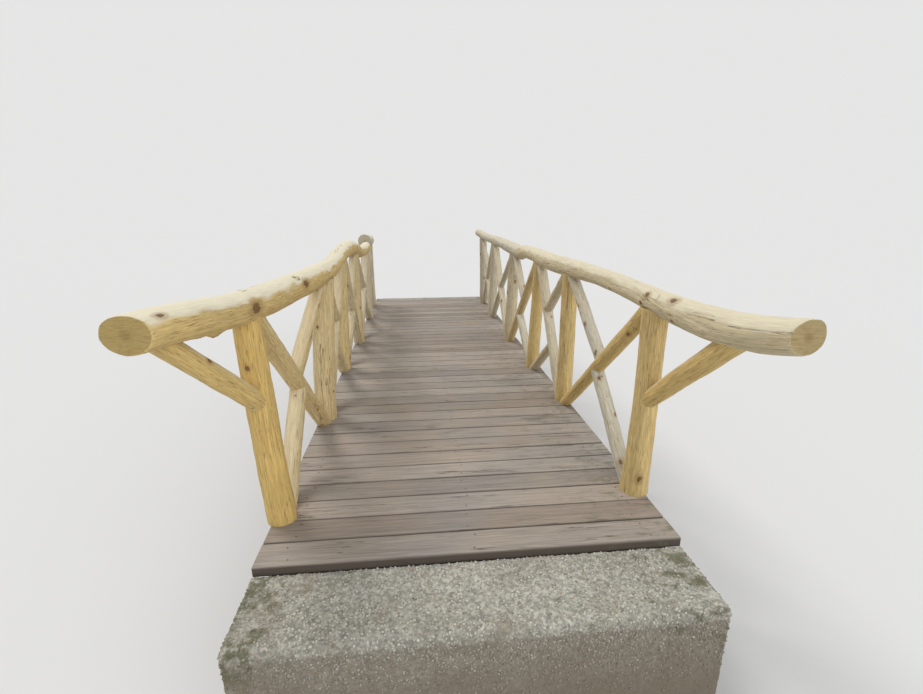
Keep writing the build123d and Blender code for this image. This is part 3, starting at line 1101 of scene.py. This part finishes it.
low_soil = stone.sum("MULTIPLY_ADD", soil, 0.35, stone.part(stone.place, 2))
stone.tint(stone.step(low_soil, 0.45, 0.80, 0.7, 0.0), (0.22, 0.18, 0.13))
# Soil splashes and painted shade on the sides.
splash_and_side_shade(stone, soil)
stone.tint(stone.product(moss_on(stone), 0.7), (0.11, 0.11, 0.05))
stone_material = stone.finish(grit, 0.0005)

# %% Chipped block tree
chipped = Recipe("chipped block", Low=(0.0, 0.0, 0.0), High=(1.0, 1.0, 1.0), Outer=1.0)
given = chipped.given
here = chipped.shape("InputPosition")
outwards = chipped.product(chipped.part(here, 1), given["Outer"])
wall = chipped.vector("ABSOLUTE", given["Low"])
wall = chipped.vector("MAXIMUM", wall, chipped.vector("ABSOLUTE", given["High"]))
from_top = chipped.sum("SUBTRACT", chipped.part(given["High"], 2), chipped.part(here, 2))
from_edge = chipped.sum("SUBTRACT", chipped.part(wall, 1), outwards)
from_edge = chipped.sum("ADD", from_top, from_edge)
chips = chipped.sum("ADD", chipped.noise(here, (7, 7, 7), 5.0), -0.02)
chips = chipped.sum("MAXIMUM", chips, 0.0)
chips = chipped.product(chips, chipped.step(from_edge, 0.0, 0.04, 1.0, 0.0), 0.09)
swell = chipped.sum("MULTIPLY_ADD", chipped.noise(here, (11, 11, 11)), 0.006, 0.0025)
rough = chipped.sum("MULTIPLY_ADD", chipped.noise(here, (48, 48, 48)), 0.007, 0.0015)
inward = chipped.sum("ADD", chipped.sum("ADD", chips, swell), rough)
inward = chipped.product(chipped.sum("MAXIMUM", inward, 0.0), -1.0)
normal = {0: chipped.shape("InputNormal")}
shift = chipped.node("ShaderNodeVectorMath", normal, Scale=inward, operation="SCALE")
place = chipped.held(chipped.vector("ADD", here, shift))
shaped = chipped.move(given["Geometry"], Position=place)
chipped.close(chipped.shape("SetShadeSmooth", Geometry=shaped))

# %% Strewn stones tree
strewn = Recipe(
    "strewn stones",
    Spacing=0.0075,
    Density=6500.0,
    Small=0.0028,
    Large=0.0068,
    Bare_below=0.28,
    Full_above=0.56,
    Deck_end=3.08,
    Low=(0.0, 0.0, 0.0),
    High=(1.0, 1.0, 1.0),
    Seed=5,
)
given = strewn.given
here = strewn.shape("InputPosition")
inputs = {"Value": strewn.part(here, 2), 1: given["Bare below"], 2: given["Full above"]}
share = strewn.node("ShaderNodeMapRange", inputs)
inputs = {0: strewn.sum("ABSOLUTE", strewn.part(here, 1)), 1: given["Deck end"]}
off_deck = strewn.node("FunctionNodeCompare", inputs, operation="GREATER_THAN")
spots = strewn.shape(
    "DistributePointsOnFaces",
    Mesh=given["Geometry"],
    Selection=off_deck,
    Distance_Min=given["Spacing"],
    Density_Max=given["Density"],
    Density_Factor=share,
    Seed=given["Seed"],
    distribute_method="POISSON",
)
pebble = strewn.shape("MeshIcoSphere", Radius=1.0, Subdivisions=1)
turns = strewn.random((0, 0, 0), (tau, tau, tau))
small, large = (strewn.point(*[given[size]] * 3) for size in ("Small", "Large"))
stones = strewn.repeat(spots, pebble, Rotation=turns, Scale=strewn.random(small, large, 1.0))
chance = strewn.random((0, 0, 0), (1, 1, 1), 2.0)
stones = strewn.real(strewn.write(stones, "stone", chance, "FLOAT_VECTOR", "INSTANCE"))
strewn.close(strewn.move(stones, Position=strewn.held(here)))

# %% Cast both abutments
for end, outer, density in (("near", -1.0, 6500.0), ("far", 1.0, 2600.0)):
    name = end + "_abutment"
    low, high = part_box(name)
    shell = merged(name)
    block = bpy.data.meshes.new(name + "_shell")
    shell.to_mesh(block)
    shell.free()
    maker = show(name + "_maker", block)
    even = maker.modifiers.new("even faces", "REMESH")
    even.mode, even.voxel_size = "VOXEL", 0.012
    even_mesh = evaluated(maker)
    bpy.data.objects.remove(maker)
    box = {"Low": tuple(low), "High": tuple(high)}
    values = {"Outer": outer, "Material": concrete_material, **box}
    cast = chipped.grow(name + "_cast", [name], "concrete", even_mesh, **values)
    values = {"Density": density, "Material": stone_material, **box}
    strewn.grow(name + "_stones", [], "concrete", cast.data.copy(), **values)

# %% [markdown]
# ## Studio
# A pale floor under an even pale sky, a soft key light from the far left, and a softer fill
# from beside the camera. The strengths are chosen so that a matt surface facing up renders
# about as bright as its colour is written. Rays from the camera see a plain backdrop that
# meets the floor without a seam.

# %% Floor
floor_reach, floor_grey = 60, 0.72
corners = [(x * floor_reach, y * floor_reach, 0) for x, y in ((-1, -1), (1, -1), (1, 1), (-1, 1))]
floor_mesh = bpy.data.meshes.new("studio_floor")
floor_mesh.from_pydata(corners, [], [(0, 1, 2, 3)])
pale = Finish("pale floor", 0.95, Specular_IOR_Level=0.0, Base_Color=(*[floor_grey] * 3, 1))
floor_mesh.materials.append(pale.material)
floor = show("studio_floor", floor_mesh)
print("floor laid")

# %% Sky and lamps
world = bpy.data.worlds.new("studio")
world.use_nodes = True
sky = Graph(world.node_tree)
sky.tree.nodes.clear()
rays = add(sky.tree, "ShaderNodeLightPath").outputs
seen = rays["Is Camera Ray"]
for kind in ("Is Glossy Ray", "Is Transmission Ray"):
    seen = sky.sum("MAXIMUM", seen, rays[kind])
glow = sky.node("ShaderNodeBackground", Color=(0.95, 0.975, 1.0, 1), Strength=0.62)
backdrop = sky.node("ShaderNodeBackground", Color=(0.785, 0.788, 0.782, 1), Strength=1.0)
mixed = sky.node("ShaderNodeMixShader", {0: seen, 1: glow, 2: backdrop})
add(sky.tree, "ShaderNodeOutputWorld", Surface=mixed)
bpy.context.scene.world = world

for name, heading, strength, spread in (
    ("key", (0.50, -0.45, -1.0), 1.4, 20),
    ("fill", (-0.50, 0.90, -0.4), 1.15, 60),
):
    sun = show(name, bpy.data.lights.new(name, "SUN"))
    sun.data.energy = strength
    sun.data.angle = radians(spread)
    sun.data.color = (1.0, 0.97, 0.93)
    sun.rotation_euler = Vector(heading).to_track_quat("-Z", "Y").to_euler()
bpy.context.scene.view_settings.view_transform = "Standard"
print("studio lit")
